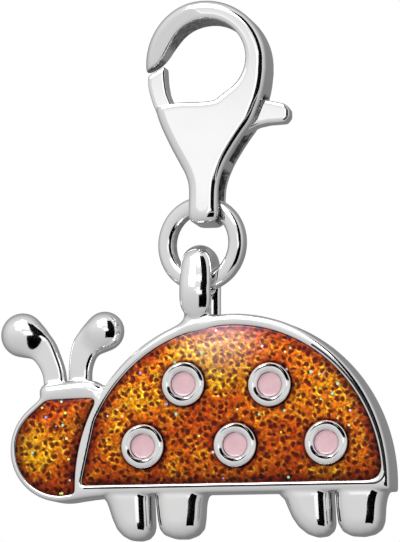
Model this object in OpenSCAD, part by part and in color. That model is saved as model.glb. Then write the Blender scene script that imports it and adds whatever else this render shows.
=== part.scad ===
// Ladybird dangle charm that hangs by a jump ring from a lobster clasp.
// X runs to the right, Y to the back and Z up. The origin is where the charm hangs:
// the inner top of the hook, halfway through its depth. All sizes are in millimetres.

/* [Clasp] */
// Depth of the clasp from front to back
clasp_depth = 3.0; // [2.8:0.1:3.2]
// Rounding of the clasp's outer edges
clasp_edge = 0.35; // [0.2:0.05:0.4]
// Outer radius of the hook
hook_r = 3.32; // [3.24:0.02:3.36]
// Radius of the hook's opening
opening_r = 2.08; // [2.0:0.02:2.12]
// Thickness of the spring lever
lever_t = 1.2; // [1.0:0.05:1.25]
// Radius of the lever's pin
pin_r = 0.33; // [0.25:0.01:0.4]
// Width of the eye's gap, where the jump ring passes
eye_gap = 1.8; // [1.7:0.05:1.9]
// Turn of the clasp about the vertical
clasp_turn = 5; // [0:1:8]

/* [Jump ring] */
// Outer diameter of the jump ring
ring_d = 5.0; // [4.96:0.02:5.1]
// Thickness of the ring's wire, measured in the plane of the ring
wire_w = 0.9; // [0.8:0.02:0.92]
// Thickness of the ring's wire, measured across the plane of the ring
wire_t = 0.94; // [0.8:0.02:0.96]
// Rounding of the wire's corners
wire_edge = 0.34; // [0.2:0.02:0.36]
// Turn of the ring about the vertical
ring_turn = -11; // [-12:1:0]

/* [Ladybird] */
// Depth of the shell and head from front to back
shell_depth = 2.4; // [2.2:0.1:2.8]
// Half the width of the shell
shell_a = 8.5; // [8.3:0.05:8.6]
// Height of the shell above its base line
shell_b = 8.95; // [8.8:0.05:9.1]
// Width of the polished lip round the enamel
lip = 0.5; // [0.4:0.02:0.6]
// Rounding of the frame's outer edges
frame_edge = 0.3; // [0.2:0.05:0.35]
// Radius of the head
head_r = 2.78; // [2.7:0.02:2.84]
// Depth of the recesses that hold the enamel
recess = 0.7; // [0.5:0.05:0.9]
// How far the enamel lies below the lip
enamel_drop = 0.16; // [0.1:0.02:0.24]
// Gap between the enamel and the metal
enamel_gap = 0.03; // [0.02:0.01:0.05]

/* [Spots] */
// Outer radius of a spot's rim
rim_r = 1.16; // [1.1:0.02:1.2]
// Inner radius of a spot's rim
rim_hole_r = 0.66; // [0.6:0.02:0.7]
// How far the rims stand out in front of the enamel
rim_proud = 0.46; // [0.3:0.02:0.6]
// How far the pink enamel lies below the crest of its rim
spot_drop = 0.26; // [0.1:0.02:0.3]

/* [Bail] */
// Width of the bail from left to right
bail_w = 1.64; // [1.5:0.02:1.66]
// Depth of the bail from front to back, outside
bail_depth = 3.0; // [2.9:0.05:3.1]
// Width of the bail's hole from front to back
bail_hole = 1.46; // [1.4:0.02:1.5]

/* [Hidden] */

silver = [0.83, 0.83, 0.82];
amber = [0.82, 0.42, 0.08];
pink = [0.90, 0.72, 0.74];

fine = 48;
coarse = 16;
edge_fn = 12;
rim_fn = 28;
// How far a cut reaches past the face that it opens
over = 1;
// Longer than any side of the part
span = 40;

// Hook: its outline and opening are circles whose centres lie apart
hook_x = 0.02;
hook_z = 1.0 - hook_r;
opening_x = 0.13;
opening_z = 0 - opening_r;

// Clasp below the hook: height, left edge, right edge
clasp_rows = [
    [-2.60, -2.40,  3.32],
    [-3.40, -2.50,  3.26],
    [-4.20, -2.60,  3.08],
    [-4.80, -2.58,  2.86],
    [-5.50, -2.37,  2.55],
    [-6.20, -2.06,  2.06],
    [-6.90, -1.72,  1.60],
    [-7.60, -1.34,  1.20],
    [-8.30, -1.00,  0.93],
    [-9.00, -0.84,  0.79],
    [-10.3, -0.86,  0.76],
    [-10.82, -0.80, 0.72]
];
shoulder_left = [-2.66, -4.62];
shoulder_right = [0.75, -4.10];

// Slanted end of the hook, which the lever's nose meets
tip_outer = [-3.8, -3.02];
tip_inner = [-1.7, -1.79];
// Lower left corner of the gate's mouth
mouth_corner = [-3.8, -4.8];
// The hook thins towards this end: where that starts, the way it runs, and depth lost per millimetre
taper_from = [-0.6, 0.6];
taper_angle = 232;
taper_rate = 0.24;
taper_l = 5;
taper_back = 3;
taper_run = 9;
taper_end = 2.92;

// Lever: pivot, hub and outline
pivot_x = -0.45;
pivot_z = -6.75;
hub_r = 0.85;
bore_r = pin_r + 0.03;
seat_r = pin_r + 0.02;
pin_l = clasp_depth - 0.6;
pin_end_gap = 0.02;
lever_slot = lever_t + 0.16;
lever_corner_r = 0.12;
lever_hollow_r = 0.3;
// Outline of the lever, from its nose down the left side and back along the tab
lever_points = [
    [-3.14, -2.86], [-3.14, -3.35], [-3.05, -3.80], [-2.87, -4.38], [-2.60, -5.02], [-2.22, -5.70],
    [-1.75, -6.25], [-1.30, -6.75], [-0.45, -7.50], [ 0.25, -7.25], [ 1.25, -6.85], [ 1.50, -6.40],
    [ 2.28, -5.86], [ 2.75, -5.64], [ 3.30, -5.53], [ 4.20, -5.48], [ 4.44, -5.20], [ 4.44, -4.80],
    [ 4.20, -4.50], [ 2.97, -4.22], [ 2.20, -4.55], [ 1.30, -5.15], [ 0.30, -5.45], [-0.90, -5.45],
    [-1.50, -4.90], [-1.85, -4.30], [-2.05, -3.80], [-2.15, -3.20], [-2.20, -2.34]
];
// Room in which the lever turns, open to the left and to the right
slot_points = [
    [-3.90, -3.90], [-0.75, -3.90], [-0.75, -5.10], [ 0.92, -5.10], [ 2.10, -4.40], [ 2.90, -4.05],
    [ 4.60, -4.05], [ 4.60, -7.42], [ 0.45, -7.42], [ 0.10, -7.72], [-1.00, -7.72], [-1.30, -7.40],
    [-3.90, -7.40]
];
eye_top = -8.02;
// Height above the ring's centre at which the eye's gap begins
eye_low = 1;

// Jump ring
ring_x = -0.30;
ring_z = -11.78;
ring_in = ring_d / 2 - wire_w;
ring_mid = ring_d / 2 - wire_w / 2;
run_gap = 0.16;

// Shell: centre of its ellipse and level of its base
shell_x = 1.5;
shell_z = -24.55;
base_z = -24.98;
front_y = -shell_depth / 2;
back_y = shell_depth / 2;
floor_y = front_y + recess;
enamel_y = front_y + enamel_drop;
corner_r = 0.45;
// The lip is a little narrower at the sides than its width, and wider at the top and base
lip_side = lip - 0.08;
lip_top = lip + 0.13;
lip_base = lip + 0.04;
// Straight left edge of the shell's enamel: lower end, upper end
shell_left = [[-6.66, -24.7], [-5.44, -19.2]];

// Head: centre, and the collar that crosses its top
head_x = -7.76;
head_z = -22.52;
collar_left = -8.52;
collar_right = -5.9;
collar_z = -19.56;
collar_rise = 0.28;
collar_r = 0.36;
head_lip = 0.33;
head_corner_r = 0.15;
// Where the head's outline runs into the shell, and the size of its corner points
neck_x = -5.7;
dot = 0.2;

// Spots: middle of each one
spots = [[-1.00, -19.28], [3.66, -19.40], [-3.20, -22.50], [1.80, -22.51], [6.68, -22.48]];
crest_y = enamel_y - rim_proud;
spot_y = crest_y + spot_drop;
rim_root = 0.05;

// Antennae, from the collar to the ball: across, height, radius
left_antenna = [
    [ -8.30, -19.30, 0.58],
    [ -8.42, -18.40, 0.56],
    [ -8.70, -17.65, 0.62],
    [ -9.15, -17.00, 0.78],
    [ -9.70, -16.55, 1.00],
    [-10.26, -16.42, 1.14]
];
right_antenna = [
    [ -6.96, -19.20, 0.58],
    [ -6.96, -18.30, 0.58],
    [ -6.84, -17.60, 0.63],
    [ -6.58, -16.95, 0.78],
    [ -6.22, -16.45, 0.94],
    [ -5.70, -16.26, 1.03]
];

// Legs: middle at the top, middle at the foot, height of the foot's centre, radius
legs = [
    [-3.78, -3.64, -26.38, 1.07],
    [-1.18, -1.16, -26.22, 1.19],
    [ 5.92,  6.04, -26.34, 1.09],
    [ 8.50,  8.46, -26.20, 1.21]
];
// Where the first leg of each pair flares out to the left
flares = [-4.75, 4.9];
flare_top_r = 0.75;
flare_foot_r = 0.85;
flare_run = [1.2, -1.1];

// Bail
bail_x = -0.40;
bail_top = -11.93;
bail_inner = ring_z - ring_in + run_gap;
bail_foot = -15.6;
// The bail's haunches: how far out and down they lie, and how thick they are against the crown
haunch_out = 0.62;
haunch_drop = 0.2;
haunch_part = 0.86;
shoulder_drop = 0.5;

// Lays a flat outline upright and gives it depth
module slab(y_front, y_back) {
    translate([0, y_back, 0])
        rotate([90, 0, 0])
            linear_extrude(y_back - y_front)
                children();
}

// The same with rounded edges
module soft_slab(y_front, y_back, r) {
    minkowski() {
        slab(y_front + r, y_back - r)
            offset(delta = -r)
                children();
        sphere(r, $fn = edge_fn);
    }
}

// A round disc in the flat outline
module disc(x, z, r) {
    translate([x, z])
        circle(r, $fn = fine);
}

// A flat outline with rounded corners
module eased(r) {
    offset(r, $fn = coarse)
        offset(-r)
            children();
}

// Hollow corners of a flat outline filled with a radius
module filled(r) {
    offset(-r, $fn = coarse)
        offset(r)
            children();
}

// Wedge that thins the front of the hook towards its end
module nose_taper() {
    intersection() {
        translate([taper_from[0], -clasp_depth / 2, taper_from[1]])
            rotate([0, -taper_angle, 0])
                translate([0, 0, -taper_back])
                    linear_extrude(taper_run)
                        polygon([[0, 0], [taper_l, 0], [taper_l, taper_l * taper_rate]]);
        translate([-span, -clasp_depth, -taper_end])
            cube([span, 2 * clasp_depth, span]);
    }
}

// Half the plane to the right of a line through two points
module right_of(low, high) {
    reach = high - low;
    bottom = low - reach;
    top = high + 2 * reach;
    polygon([bottom, bottom + [span, 0], top + [span, 0], top]);
}

// Outline of the clasp before the hook is opened
module clasp_outline() {
    disc(hook_x, hook_z, hook_r);
    polygon(concat(
        [for (row = clasp_rows) [row[1], row[0]]],
        [for (i = [len(clasp_rows) - 1 : -1 : 0]) [clasp_rows[i][2], clasp_rows[i][0]]]
    ));
}

// Opening of the hook, with the gate's mouth at its left
module clasp_opening() {
    disc(opening_x, opening_z, opening_r);
    intersection() {
        polygon([tip_outer, tip_inner, [opening_x, opening_z], shoulder_right, shoulder_left,
                 mouth_corner]);
        disc(0, hook_z, hook_r + 2 * over);
    }
}

// Gap in the eye: it opens to both sides, and its floor is round the ring's centre
module eye_opening() {
    difference() {
        translate([-span / 2, ring_z + eye_low])
            square([span, eye_top - ring_z - eye_low]);
        disc(ring_x, ring_z, ring_in - run_gap);
    }
}

// Round bar on the lever's axis
module axle(length, r) {
    translate([pivot_x, 0, pivot_z])
        rotate([90, 0, 0])
            cylinder(h = length, r = r, center = true, $fn = fine);
}

module clasp_body() {
    color(silver)
        rotate(clasp_turn)
            difference() {
                soft_slab(-clasp_depth / 2, clasp_depth / 2, clasp_edge)
                    difference() {
                        clasp_outline();
                        clasp_opening();
                    }
                nose_taper();
                mirror([0, 1, 0])
                    nose_taper();
                slab(-lever_slot / 2, lever_slot / 2)
                    polygon(slot_points);
                slab(-eye_gap / 2, eye_gap / 2)
                    eye_opening();
                axle(pin_l + 2 * pin_end_gap, seat_r);
            }
}

module clasp_lever() {
    color(silver)
        rotate(clasp_turn)
            difference() {
                slab(-lever_t / 2, lever_t / 2)
                    eased(lever_corner_r) {
                        filled(lever_hollow_r)
                            polygon(lever_points);
                        disc(pivot_x, pivot_z, hub_r);
                    }
                axle(lever_t + over, bore_r);
            }
}

module lever_pin() {
    color(silver)
        rotate(clasp_turn)
            axle(pin_l, pin_r);
}

module jump_ring() {
    color(silver)
        translate([ring_x, 0, ring_z])
            rotate([90, 0, ring_turn])
                rotate_extrude($fn = fine)
                    translate([ring_mid, 0])
                        offset(wire_edge, $fn = coarse)
                            square([wire_w - 2 * wire_edge, wire_t - 2 * wire_edge], center = true);
}

// Outline of the shell, grown or shrunk by a margin
module shell_outline(margin) {
    intersection() {
        translate([shell_x, shell_z])
            scale([shell_a + margin, shell_b + margin])
                circle(1, $fn = 2 * fine);
        translate([-span / 2, base_z - margin])
            square(span);
    }
}

// Outline of the head with its collar's neck
module head_outline(margin) {
    hull() {
        disc(head_x, head_z, head_r + margin);
        translate([collar_left - margin, collar_z - dot / 2])
            square(dot);
        translate([collar_right, collar_z + collar_rise - dot / 2])
            square(dot);
        translate([neck_x, base_z - margin])
            square(dot);
    }
}

// The enamel's outline in the shell
module shell_pocket(margin) {
    eased(corner_r)
        intersection() {
            translate([shell_x, shell_z])
                scale([shell_a - lip_side + margin, shell_b - lip_top + margin])
                    circle(1, $fn = 2 * fine);
            translate([-span / 2, base_z + lip_base - margin])
                square(span);
            translate([-margin, 0])
                right_of(shell_left[0], shell_left[1]);
        }
}

// The enamel's outline in the head, bounded by the shell's rim and the collar
module head_pocket(margin) {
    eased(head_corner_r)
        difference() {
            intersection() {
                head_outline(margin - head_lip);
                translate([-span / 2, collar_z - collar_r + margin - span])
                    square(span);
            }
            shell_outline(-margin);
        }
}

// A chain of balls, hulled in pairs: across, height, radius
module ball_chain(rows) {
    for (i = [0 : len(rows) - 2])
        hull()
            for (row = [rows[i], rows[i + 1]])
                translate([row[0], 0, row[1]])
                    sphere(row[2], $fn = coarse);
}

module leg(row) {
    hull() {
        translate([row[0], 0, base_z])
            sphere(row[3], $fn = coarse);
        translate([row[1], 0, row[2]])
            sphere(row[3], $fn = coarse);
    }
}

// A small web that widens a leg towards the base
module flare(x) {
    hull() {
        translate([x, 0, base_z])
            sphere(flare_top_r, $fn = coarse);
        translate([x + flare_run[0], 0, base_z + flare_run[1]])
            sphere(flare_foot_r, $fn = coarse);
    }
}

// Loop of the bail in the plane of Y and Z, with a rounded section
module bail() {
    arch_t = bail_top - bail_inner;
    leg_t = (bail_depth - bail_hole) / 2;
    leg_y = (bail_depth - leg_t) / 2;
    arch_z = bail_top - arch_t / 2;
    shoulder_z = bail_inner - shoulder_drop;
    haunch = [haunch_out * leg_y, arch_z - haunch_drop, haunch_part * arch_t];
    stations = [
        [-leg_y, bail_foot, leg_t],
        [-leg_y, shoulder_z, leg_t],
        [-haunch[0], haunch[1], haunch[2]],
        [0, arch_z, arch_t],
        haunch,
        [leg_y, shoulder_z, leg_t],
        [leg_y, bail_foot, leg_t]
    ];
    for (i = [0 : len(stations) - 2])
        hull()
            for (s = [stations[i], stations[i + 1]])
                translate([bail_x, s[0], s[1]])
                    scale([bail_w / s[2], 1, 1])
                        sphere(s[2] / 2, $fn = coarse);
}

module spot_rim(spot) {
    mid_r = (rim_r + rim_hole_r) / 2;
    half_w = (rim_r - rim_hole_r) / 2;
    wall = floor_y + rim_root - crest_y - half_w;
    translate([spot[0], floor_y + rim_root, spot[1]])
        rotate([90, 0, 0])
            rotate_extrude($fn = rim_fn)
                translate([mid_r, 0]) {
                    translate([-half_w, 0])
                        square([2 * half_w, wall]);
                    translate([0, wall])
                        circle(half_w, $fn = coarse);
                }
}

module ladybird_frame() {
    color(silver)
        union() {
            difference() {
                union() {
                    soft_slab(front_y, back_y, frame_edge)
                        union() {
                            shell_outline(0);
                            head_outline(0);
                        }
                    for (row = legs)
                        leg(row);
                    for (x = flares)
                        flare(x);
                }
                slab(front_y - over, floor_y)
                    shell_pocket(0);
                slab(front_y - over, floor_y)
                    head_pocket(0);
            }
            for (spot = spots)
                spot_rim(spot);
            hull() {
                translate([collar_left, front_y + collar_r, collar_z])
                    sphere(collar_r, $fn = coarse);
                translate([collar_right, front_y + collar_r, collar_z + collar_rise])
                    sphere(collar_r, $fn = coarse);
            }
            ball_chain(left_antenna);
            ball_chain(right_antenna);
            bail();
        }
}

module shell_enamel() {
    color(amber)
        difference() {
            slab(enamel_y, floor_y - enamel_gap)
                shell_pocket(-enamel_gap);
            slab(front_y - over, back_y)
                for (spot = spots)
                    disc(spot[0], spot[1], rim_r + enamel_gap);
        }
}

module head_enamel() {
    color(amber)
        slab(enamel_y, floor_y - enamel_gap)
            head_pocket(-enamel_gap);
}

module spot_enamel(spot) {
    color(pink)
        slab(spot_y, floor_y - enamel_gap)
            disc(spot[0], spot[1], rim_hole_r - enamel_gap);
}

clasp_body();
clasp_lever();
lever_pin();
jump_ring();
ladybird_frame();
shell_enamel();
head_enamel();
for (i = [1 : len(spots)])
    spot_enamel(spots[i - 1]);
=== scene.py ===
# %% [markdown]
# # A ladybird charm on a lobster clasp
# The charm is cast in silver and polished, its recesses are filled with clear amber enamel
# over a dimpled ground, and five raised rims hold pink enamel. A jump ring links it to a
# lobster clasp. This lesson dresses the solids of the CAD model with finished surfaces. The
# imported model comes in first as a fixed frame, because every piece rides on one of its bodies.

# %% Load the frame
import math
from itertools import product

import bpy
import numpy as np
from mathutils import Matrix, Vector
from mathutils.geometry import convex_hull_2d


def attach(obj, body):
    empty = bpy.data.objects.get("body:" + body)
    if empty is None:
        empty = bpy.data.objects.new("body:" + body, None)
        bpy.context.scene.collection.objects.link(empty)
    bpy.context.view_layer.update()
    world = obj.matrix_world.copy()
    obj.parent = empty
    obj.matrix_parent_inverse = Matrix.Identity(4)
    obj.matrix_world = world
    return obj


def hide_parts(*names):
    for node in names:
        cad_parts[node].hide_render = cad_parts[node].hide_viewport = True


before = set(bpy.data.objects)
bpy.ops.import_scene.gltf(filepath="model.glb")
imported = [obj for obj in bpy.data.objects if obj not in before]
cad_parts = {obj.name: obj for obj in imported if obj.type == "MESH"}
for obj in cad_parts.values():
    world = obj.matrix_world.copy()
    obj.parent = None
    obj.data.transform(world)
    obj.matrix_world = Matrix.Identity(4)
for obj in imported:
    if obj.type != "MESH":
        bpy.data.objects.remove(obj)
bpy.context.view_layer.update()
MM = 0.001

# %% [markdown]
# ## The camera
# A charm is small, so a product photographer stands back with a long lens. The charm's plate
# is turned 15 degrees from the lens, which looks slightly upwards. The camera's axes are
# worked out from those two angles, so no tracking constraint is needed.

# %% Camera
AZIMUTH, ELEVATION = math.radians(15), math.radians(-6.2)
DISTANCE = 280 * MM
AIM = Vector((-0.438, 0, -13.205)) * MM
LENS = 353.4


def on_set(name, data):
    """A new object in the scene, at the origin."""
    made = bpy.data.objects.new(name, data)
    bpy.context.scene.collection.objects.link(made)
    return made


back = Vector((math.sin(AZIMUTH) * math.cos(ELEVATION),
               -math.cos(AZIMUTH) * math.cos(ELEVATION), math.sin(ELEVATION)))
right = Vector((math.cos(AZIMUTH), math.sin(AZIMUTH), 0))
lens = bpy.data.cameras.new("camera")
lens.lens, lens.clip_start, lens.clip_end = LENS, MM, 10
camera = on_set("camera", lens)
camera.matrix_world = Matrix.Translation(AIM + back * DISTANCE) @ Matrix(
    (right, back.cross(right), back)).transposed().to_4x4()
bpy.context.scene.camera = camera
print("camera at", [round(v / MM, 1) for v in camera.location], "mm")

# %% [markdown]
# ## A block of wax
# Jewellers carve a charm in wax, melt its parts together and cast it. The same can be done
# with a distance field: a grid of numbers that says how far each point lies from the surface,
# negative inside. Two shapes melt into each other where their distances are nearly equal,
# which gives the small fillets of a polished casting. Booleans and bevels on meshes could
# do it too, but they break where five rounded shapes meet.

# %% Wax
FINE = 0.07


class Wax:
    """A block of space on a grid, in millimetres, with the distance to the surface."""

    def __init__(self, low, high, step=FINE):
        self.low, self.step = np.array(low, float), step
        self.axes = [np.arange(a, b + step, step) for a, b in zip(low, high)]
        self.field = np.full([len(a) for a in self.axes], 9.0, np.float32)

    def work(self, tool, shape, fillet, low=(-99, -99, -99), high=(99, 99, 99)):
        """Works a shape into the wax between two corners."""
        cuts = tuple(slice(*np.searchsorted(a, (l, h))) for a, l, h in zip(self.axes, low, high))
        inner = [a[c] for a, c in zip(self.axes, cuts)]
        places = np.meshgrid(*inner, indexing="ij", sparse=True)
        self.field[cuts] = tool(self.field[cuts], shape(*places), fillet)

    def weigh(self, what):
        print(what, round(float((self.field < 0).sum() * self.step ** 3), 1), "cubic mm of wax")


def melt(a, b, fillet):
    """Both shapes, with a fillet in the hollow between them."""
    h = np.maximum(fillet - np.abs(a - b), 0) / fillet
    return np.minimum(a, b) - h * h * fillet / 4


def carve(a, b, fillet):
    """The first shape without the second, its new edges rounded."""
    return -melt(-a, b, fillet)


def common(a, b, fillet):
    """Where both shapes are, the edge between them rounded."""
    return -melt(-a, -b, fillet)


# %% [markdown]
# ## From the field to a mesh
# One vertex is put in each grid cell whose corners lie on both sides of the surface, and one
# face across each grid edge that the surface crosses. The vertices then slide along the slope
# of the field until they lie on the surface. That slope is also the exact normal, so a
# polished face mirrors without ripples.

# %% Vertices and faces of the skin
CORNERS = list(product((0, 1), repeat=3))


def cell_vertices(field, live):
    """One vertex in each live cell, amid the points where the surface crosses its edges."""
    cells = np.argwhere(live)
    values = np.stack([field[tuple((cells + c).T)] for c in CORNERS], axis=1)
    places, hits = np.zeros((len(cells), 3)), np.zeros(len(cells))
    for a, b in product(range(8), repeat=2):
        if a < b and sum(p != q for p, q in zip(CORNERS[a], CORNERS[b])) == 1:
            crossed = (values[:, a] < 0) != (values[:, b] < 0)
            fall = np.where(crossed, values[:, a] - values[:, b], 1)
            t = np.where(crossed, values[:, a] / fall, 0)
            way = np.array(CORNERS[b]) - CORNERS[a]
            places += crossed[:, None] * (np.array(CORNERS[a]) + t[:, None] * way)
            hits += crossed
    return cells + places / hits[:, None]


def edge_faces(inside, number):
    """One face across each grid edge that the surface crosses, turned outwards."""
    faces = []
    for axis in range(3):
        u, v = (axis + 1) % 3, (axis + 2) % 3
        first = [slice(1, n - 1) for n in inside.shape]
        second = list(first)
        first[axis], second[axis] = slice(0, -1), slice(1, None)
        here, there = inside[tuple(first)], inside[tuple(second)]
        start = np.argwhere(here != there)
        outward = here[tuple(start.T)]
        round_edge = np.zeros((4, 3), int)
        round_edge[:, u], round_edge[:, v] = (0, 1, 1, 0), (0, 0, 1, 1)
        ring = number[tuple(np.moveaxis(start[:, None] + round_edge, 2, 0))]
        faces.append(np.where(outward[:, None], ring, ring[:, ::-1]))
    return np.concatenate(faces)


# %% Skin of the wax
def sample(grid, places):
    """Values of a grid between its points."""
    last = np.array(grid.shape) - 2
    cell = np.clip(np.floor(places).astype(int), 0, last)
    part = np.clip(places - cell, 0, 1)
    total = np.zeros(len(places))
    for corner in CORNERS:
        weight = np.prod(np.where(corner, part, 1 - part), axis=1)
        total += weight * grid[tuple((cell + corner).T)]
    return total


def blurred(grid):
    """The grid with each value mixed with its neighbours."""
    for axis in range(3):
        a = np.moveaxis(grid, axis, 0)
        soft = a.copy()
        soft[1:-1] = a[:-2] / 4 + a[1:-1] / 2 + a[2:] / 4
        grid = np.moveaxis(soft, 0, axis)
    return grid


def model(name, places, faces, material):
    """A mesh object with one material, from places in metres."""
    mesh = bpy.data.meshes.new(name)
    mesh.from_pydata(places, [], faces)
    mesh.materials.append(material)
    return on_set(name, mesh)


def skin(wax, name, material, turn=0.0, polish=1):
    """A mesh object along the zero of the field, with the field's slope as its normals."""
    field = wax.field
    for _ in range(polish):
        field = blurred(field)
    inside = field < 0
    near = [inside[tuple(slice(c, n - 1 + c) for c, n in zip(corner, field.shape))]
            for corner in CORNERS]
    live = np.any(near, axis=0) & ~np.all(near, axis=0)
    number = np.full(live.shape, -1)
    number[live] = np.arange(live.sum())
    places, faces = cell_vertices(field, live), edge_faces(inside, number)
    slopes = np.gradient(field)
    for _ in range(3):
        g = np.stack([sample(s, places) for s in slopes], axis=1)
        move = sample(field, places)[:, None] * g / np.maximum((g * g).sum(1), 1e-6)[:, None]
        places -= np.clip(move, -0.5, 0.5)
    normals = np.stack([sample(s, places) for s in slopes], axis=1)
    normals /= np.linalg.norm(normals, axis=1)[:, None]
    spin = np.array(Matrix.Rotation(turn, 3, "Z"))
    places = (wax.low + places * wax.step) @ spin.T * MM
    normals = normals @ spin.T
    made = model(name, places.tolist(), faces.tolist(), material)
    made.data.polygons.foreach_set("use_smooth", np.ones(len(faces), bool))
    made.data.normals_split_custom_set_from_vertices(normals.tolist())
    print(name, len(faces), "faces")
    return made


# %% [markdown]
# ## Outlines
# A plate starts as a flat drawing, seen from the front. Points from a tracing are joined by
# a smooth curve, and the distance to that closed outline is then given depth and rounded
# edges. An ellipse has a short formula of its own.

# %% Flat shapes
def through(points, steps=8):
    """A smooth open curve through points of any number of coordinates."""
    p = np.array(points, float)
    p = np.vstack([2 * p[0] - p[1], p, 2 * p[-1] - p[-2]])
    curve = []
    for a, b, c, d in zip(p[:-3], p[1:-2], p[2:-1], p[3:]):
        for t in np.arange(steps) / steps:
            curve.append(0.5 * (2 * b + (c - a) * t + (2 * a - 5 * b + 4 * c - d) * t ** 2
                                + (3 * b - a - 3 * c + d) * t ** 3))
    return np.array(curve + [p[-2]])


def outline(points, x, z):
    """Distance to a closed outline, negative inside it."""
    nearest = np.full(np.broadcast(x, z).shape, 1e9)
    inside = np.zeros(nearest.shape, bool)
    for (ax, az), (bx, bz) in zip(points, np.roll(points, -1, axis=0)):
        ex, ez = bx - ax, bz - az
        if ex == ez == 0:
            continue
        t = np.clip(((x - ax) * ex + (z - az) * ez) / (ex * ex + ez * ez), 0, 1)
        nearest = np.minimum(nearest, (x - ax - t * ex) ** 2 + (z - az - t * ez) ** 2)
        if ez:
            inside ^= ((az > z) != (bz > z)) & (x < ax + (z - az) * ex / ez)
    return np.where(inside, -1, 1) * np.sqrt(nearest)


def disc(x, z, middle, r):
    return np.hypot(x - middle[0], z - middle[1]) - r


def oval(x, z, middle, a, b):
    u, v = (x - middle[0]) / a, (z - middle[1]) / b
    k0, k1 = np.hypot(u, v), np.hypot(u / a, v / b)
    return k0 * (k0 - 1) / np.maximum(k1, 1e-6)


# %% Shapes with depth
def plate(flat, y, half, edge):
    """A flat shape with depth and rounded edges."""
    a, b = flat + edge, np.abs(y) - half + edge
    return np.minimum(np.maximum(a, b), 0) + np.hypot(np.maximum(a, 0), np.maximum(b, 0)) - edge


def tube(x, y, z, stations):
    """A bar along stations (x, y, z, radius). A fifth number is its half width in x."""
    best = np.full(np.broadcast(x, y, z).shape, 1e9)
    for p, q in zip(stations[:-1], stations[1:]):
        ex, ey, ez, er = (q - p)[:4]
        t = np.clip(((x - p[0]) * ex + (y - p[1]) * ey + (z - p[2]) * ez)
                    / (ex * ex + ey * ey + ez * ez), 0, 1)
        r = p[3] + er * t
        across = x - p[0] - t * ex
        if len(p) > 4:
            across = across * r / (p[4] + (q[4] - p[4]) * t)
        best = np.minimum(best, np.sqrt(across ** 2 + (y - p[1] - t * ey) ** 2
                                        + (z - p[2] - t * ez) ** 2) - r)
    return best


def ellipsoid(x, y, z, across, up, r, deep):
    """A ball of radius r, pressed to a half depth of its own."""
    u, v, w = x - across, z - up, y
    flat = u * u + v * v
    k0 = np.sqrt(flat / r ** 2 + (w / deep) ** 2)
    k1 = np.sqrt(flat / r ** 4 + (w / deep ** 2) ** 2)
    return k0 * (k0 - 1) / np.maximum(k1, 1e-6)


def slab(points, half, edge):
    """The shape of a plate with a traced outline."""
    return lambda x, y, z: plate(outline(np.array(points), x, z), y, half, edge)


def bar(stations):
    """The shape of a bar along stations."""
    return lambda x, y, z: tube(x, y, z, stations)


# %% [markdown]
# ## Node trees in short steps
# Materials, the studio's sky and Geometry Nodes are all trees of nodes. One small class adds
# a node and sets or links its inputs in a single call. Another holds a material, which reads
# Object coordinates, so that a pattern stays on its piece and has its real size.

# %% Nodes and finishes
class Nodes:
    """A node tree, filled one node at a time."""

    def __init__(self, tree):
        self.tree = tree

    def node(self, kind, inputs=(), **settings):
        made = self.tree.nodes.new(kind)
        for key, value in settings.items():
            setattr(made, key, value)
        return self.put(made, dict(inputs))

    def put(self, node, inputs):
        """Gives a node's inputs their values or links."""
        for key, value in inputs.items():
            if isinstance(value, bpy.types.NodeSocket):
                self.tree.links.new(value, node.inputs[key])
            else:
                node.inputs[key].default_value = value
        return node

    def maths(self, operation, *values):
        return self.node("ShaderNodeMath", enumerate(values), operation=operation).outputs[0]

    def mix(self, mode, factor, a, b):
        return self.node("ShaderNodeMix", {"Factor": factor, "A": a, "B": b},
                         data_type="RGBA", blend_type=mode).outputs["Result"]

    def fit(self, value, source=(0, 1), target=(0, 1), **settings):
        """A value carried from one range to another."""
        return self.node("ShaderNodeMapRange", {
            "Value": value, "From Min": source[0], "From Max": source[1],
            "To Min": target[0], "To Max": target[1]}, **settings).outputs["Result"]

    def ramp(self, share, *stops):
        """Colours along a share from 0 to 1. A colour given as one number is a grey."""
        made = self.node("ShaderNodeValToRGB", {"Fac": share})
        bar = made.color_ramp.elements
        while len(bar) < len(stops):
            bar.new(0.5)
        for stop, (place, colour) in zip(bar, stops):
            rgb = colour if isinstance(colour, tuple) else (colour,) * 3
            stop.position, stop.color = place, (*rgb, 1)
        return made.outputs["Color"]


class Finish(Nodes):
    """A material, with its pattern placed by Object coordinates."""

    def __init__(self, name, **inputs):
        self.material = bpy.data.materials.new(name)
        self.material.use_nodes = True
        super().__init__(self.material.node_tree)
        self.feed(**inputs)
        self.where = self.node("ShaderNodeTexCoord").outputs["Object"]

    def count(self):
        print(self.material.name, "has", len(self.tree.nodes), "nodes")

    def feed(self, **inputs):
        self.put(self.tree.nodes["Principled BSDF"],
                 {key.replace("_", " "): value for key, value in inputs.items()})

    def attribute(self, name):
        return self.node("ShaderNodeAttribute", attribute_name=name).outputs["Fac"]

    def noise(self, size, detail=2.0, where=None):
        """Clouds of a size in millimetres."""
        inputs = {"Vector": where or self.where, "Scale": 1 / (size * MM), "Detail": detail}
        return self.node("ShaderNodeTexNoise", inputs).outputs["Fac"]

    def bump(self, height, strength, distance):
        made = self.node("ShaderNodeBump", {"Height": height, "Strength": strength,
                                            "Distance": distance * MM})
        self.feed(Normal=made.outputs["Normal"])
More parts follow.
